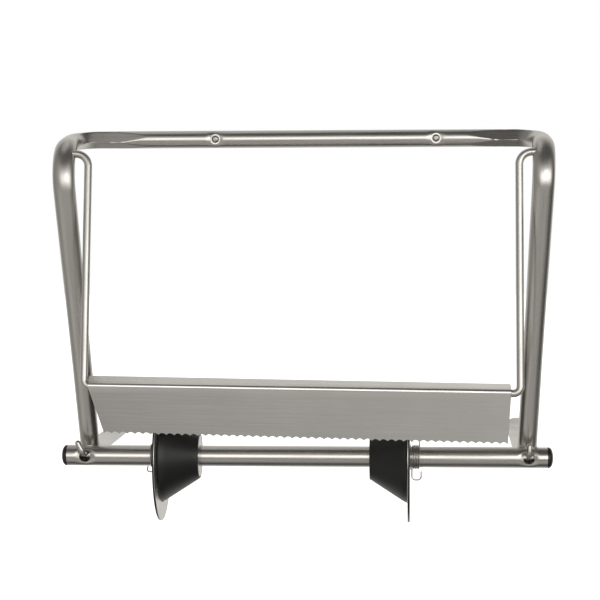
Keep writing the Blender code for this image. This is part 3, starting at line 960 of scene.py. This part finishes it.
def blade_frame(u):
    """The fold's place, the ways down the face and back along the flange, and the slant, at
    a share u of the blade's length."""
    (fold0, lean0, slant0), (fold1, lean1, slant1) = blade_ends()
    lean = lean0 + (lean1 - lean0) * u
    down = Vector((0, math.sin(lean), -math.cos(lean)))
    back = Vector((0, math.cos(lean), math.sin(lean)))
    return fold0.lerp(fold1, u), down, back, slant0 + (slant1 - slant0) * u


class DISPENSER_OT_blade_bail(bpy.types.Operator):
    """The U of wire that the blade hangs on"""
    bl_idname = "dispenser.blade_bail"
    bl_label = "Blade bail"

    rod_x = 222 * MM
    top_bend, low_bend = 13 * MM, 7 * MM

    def execute(self, context):
        rod_x = self.rod_x
        inset = BAIL_RADIUS + settings("blade").thickness / 2 + GAP
        ends = []
        for u, sign in ((0, -1), (1, 1)):
            fold, down, back, _ = blade_frame(u)
            spot = fold + (down + back) * inset
            ends.append((sign * rod_x, spot.y, spot.z))
        tip = high("blade_bail").x
        corners = [(-tip, PIVOT.y, PIVOT.z), (-rod_x, PIVOT.y, PIVOT.z), ends[0], ends[1],
                   (rod_x, PIVOT.y, PIVOT.z), (tip, PIVOT.y, PIVOT.z)]
        bends = [self.top_bend, self.low_bend, self.low_bend, self.top_bend]
        path = evened(rounded_path(corners, bends), 20 * MM)
        bail = swept_wire("bail", path, BAIL_RADIUS, 32)
        complete(bail, "bail", "cutter", "wire_drawn", ["blade_bail"])
        return {"FINISHED"}


class DISPENSER_OT_blade(bpy.types.Operator):
    """The folded sheet with its scalloped edge"""
    bl_idname = "dispenser.blade"
    bl_label = "Blade"

    per_tooth = 10
    tooth_fade = 4 * MM     # the teeth's shape dies out this far above their tips
    uv_half_length = 0.215

    def rows(self, sheet):
        """How far down the face each row lies, then round the fold, then back."""
        r = sheet.fold_radius
        face = [(sheet.face - depth, 0.0) for depth in
                (0, 1.2 * MM, 2.8 * MM, 5 * MM, 12 * MM, 30 * MM, 50 * MM)]
        fold = [(r * (1 - math.sin(a)), r * (1 - math.cos(a)))
                for a in (math.radians(d) for d in range(0, 91, 15))]
        flange = [(0.0, sheet.flange * s) for s in (0.5, 1.0)]
        return face + fold + flange

    def execute(self, context):
        sheet = context.scene.dispenser_blade
        rows = self.rows(sheet)
        columns = sheet.teeth * self.per_tooth
        deselect()
        bpy.ops.mesh.primitive_grid_add(
            x_subdivisions=columns, y_subdivisions=len(rows) - 1, size=2)
        piece = bpy.context.object
        uv = piece.data.uv_layers.active.data
        down_of, back_of = zip(*rows)
        for loop in piece.data.loops:
            place = piece.data.vertices[loop.vertex_index].co
            row = round((place.y + 1) / 2 * (len(rows) - 1))
            uv[loop.index].uv = ((place.x + 1) * self.uv_half_length,
                                 down_of[row] - back_of[row])
        for vert in piece.data.vertices:
            row = round((vert.co.y + 1) / 2 * (len(rows) - 1))
            column = round((vert.co.x + 1) / 2 * columns)
            u = column / columns
            fold, down, back, slant = blade_frame(u)
            along_face, along_flange = rows[row]
            phase = (column % self.per_tooth) / self.per_tooth
            notch = sheet.tooth_depth * (1 - abs(2 * phase - 1) ** 1.7)
            fade = max(0.0, 1 - (sheet.face - along_face) / self.tooth_fade)
            along_face -= notch * fade
            share_down = along_face / sheet.face
            vert.co = fold + down * along_face + back * along_flange
            vert.co.x += slant * share_down
        apply_modifier(piece, "SOLIDIFY", "Sheet", thickness=sheet.thickness, offset=0,
                       use_even_offset=True)
        apply_modifier(piece, "BEVEL", "Edges", width=0.18 * MM, segments=1,
                       limit_method="ANGLE", angle_limit=math.radians(50))
        face_outwards(piece)
        complete(piece, "blade_sheet", "cutter", "blade_brushed", ["blade"],
                 smooth=30)
        return {"FINISHED"}


# ---------------------------------------------------------------- the stage

class DISPENSER_OT_stage(bpy.types.Operator):
    """Pale floor, soft studio surroundings and the camera"""
    bl_idname = "dispenser.stage"
    bl_label = "Stage"

    camera_place = Vector((114.3 * MM, -1917.4 * MM, 237.9 * MM))
    turned, tipped, rolled = math.radians(3.581), math.radians(2.136), math.radians(-0.127)
    lens = 108.9
    floor_size = 14

    def camera(self, context):
        data = bpy.data.cameras.new("view")
        data.sensor_width = 36
        data.lens = self.lens
        data.clip_start, data.clip_end = 0.05, 30
        made = bpy.data.objects.new("view", data)
        made.location = self.camera_place
        view = (Matrix.Rotation(self.turned, 3, "Z")
                @ Matrix.Rotation(math.pi / 2 - self.tipped, 3, "X")
                @ Matrix.Rotation(self.rolled, 3, "Z"))
        made.rotation_euler = view.to_euler()
        context.scene.collection.objects.link(made)
        context.scene.camera = made

    def floor(self):
        deselect()
        bpy.ops.mesh.primitive_plane_add(
            size=self.floor_size, location=(0, 0, low("flange_disc_left").z - MM))
        floor = bpy.context.object
        floor.name = "floor"
        paint, shader, bsdf = new_material("floor_white")
        link(shader, bsdf, Base_Color=(1, 1, 1, 1), Roughness=1.0,
             Emission_Color=(1, 1, 1, 1), Emission_Strength=1.0)
        floor.data.materials.append(paint)
        floor.visible_glossy = False
        floor.visible_diffuse = False
        floor.visible_shadow = False

    def surroundings(self, context):
        """A studio in the sky: a bright screen in front, a little to the right, dimmer light
        above it, below it and to the left, and a pale wall behind. The camera sees white."""
        world = bpy.data.worlds.new("studio")
        world.use_nodes = True
        context.scene.world = world
        shader = Shader(world.node_tree)
        towards = shader.node("ShaderNodeTexCoord", output="Generated")
        axes = world.node_tree.nodes.new("ShaderNodeSeparateXYZ")
        world.node_tree.links.new(towards.output, axes.inputs[0])
        right, back, up = (Socket(shader, axes.outputs[i]) for i in range(3))
        height = up.math("ARCSINE") * math.degrees(1)
        turn = right.math("ARCTAN2", 0 - back) * math.degrees(1)

        def band(value, middle, half, soft):
            away = (value - middle).math("ABSOLUTE")
            return shader.between(away, half - soft, half + soft, 1.0, 0.0)

        key = band(turn, 20.0, 44.0, 13.0) * band(height, 5.0, 13.0, 7.0)
        rise = band(turn, 15.0, 60.0, 25.0) * band(height, 19.0, 18.0, 9.0)
        left = band(turn, -75.0, 42.0, 22.0) * band(height, 0.0, 50.0, 25.0)
        lower = band(turn, 0.0, 60.0, 25.0) * band(height, -42.0, 24.0, 14.0)
        rear = shader.between(back, 0.12, 0.80)
        light = 0.085 + key * 1.75 + rise * 0.40 + left * 0.25 + lower * 0.34 + rear * 0.70
        warm_white = (1.0, 0.985, 0.955, 1)
        surround = shader.node("ShaderNodeBackground", {}, Color=warm_white, Strength=light)
        white = shader.node("ShaderNodeBackground", {}, Color=(1, 1, 1, 1), Strength=1.0)
        seen = shader.node("ShaderNodeLightPath", output="Is Camera Ray")
        mixed = shader.node("ShaderNodeMixShader", {}, seen, surround, white)
        output = world.node_tree.nodes["World Output"]
        world.node_tree.links.new(mixed.output, output.inputs["Surface"])

    def lamp(self, context, name, place, size, power):
        data = bpy.data.lights.new(name, "AREA")
        data.shape = "RECTANGLE"
        data.size, data.size_y = size
        data.energy = power
        made = bpy.data.objects.new(name, data)
        made.location = place
        made.rotation_euler = (Vector((0, 0, 0.15)) - Vector(place)).to_track_quat(
            "-Z", "Y").to_euler()
        context.scene.collection.objects.link(made)

    def execute(self, context):
        self.camera(context)
        self.floor()
        self.surroundings(context)
        self.lamp(context, "front_screen", (1.1, -2.6, 0.9), (1.2, 0.7), 5.0)
        self.lamp(context, "overhead", (-0.4, 0.3, 2.4), (1.4, 1.0), 2.0)
        context.scene.view_settings.view_transform = "Standard"
        return {"FINISHED"}


# ---------------------------------------------------------------- panel and start

STEPS = (
    "frame_tube", "mount_screws", "roll_bar", "end_caps", "bar_hooks", "cones",
    "spring_clips", "blade_bail", "blade", "stage",
)


class DISPENSER_PT_panel(bpy.types.Panel):
    """Lists the dispenser's sizes, finishes and steps"""
    bl_idname = "DISPENSER_PT_panel"
    bl_label = "Cling film dispenser"
    bl_space_type = "VIEW_3D"
    bl_region_type = "UI"
    bl_category = "Dispenser"

    def draw(self, context):
        for group in GROUPS:
            box = self.layout.box()
            box.label(text=group.capitalize())
            values = settings(group)
            for key in values.__annotations__:
                box.prop(values, key)
        for step in STEPS:
            self.layout.operator("dispenser." + step)


GROUPS = {
    "tube": DispenserTube, "bar": DispenserBar, "blade": DispenserBlade,
    "finish": DispenserFinish,
}
CLASSES = (
    *GROUPS.values(), DISPENSER_OT_frame_tube, DISPENSER_OT_mount_screws,
    DISPENSER_OT_roll_bar, DISPENSER_OT_end_caps, DISPENSER_OT_bar_hooks,
    DISPENSER_OT_cones, DISPENSER_OT_spring_clips, DISPENSER_OT_blade_bail,
    DISPENSER_OT_blade, DISPENSER_OT_stage, DISPENSER_PT_panel,
)


def register():
    for cls in CLASSES:
        bpy.utils.register_class(cls)
    for name, group in GROUPS.items():
        setattr(bpy.types.Scene, "dispenser_" + name, bpy.props.PointerProperty(type=group))


def unregister():
    for name in GROUPS:
        delattr(bpy.types.Scene, "dispenser_" + name)
    for cls in reversed(CLASSES):
        bpy.utils.unregister_class(cls)


def main():
    register()
    for step in STEPS:
        getattr(bpy.ops.dispenser, step)()
    bpy.context.view_layer.update()


if __name__ == "__main__":
    main()
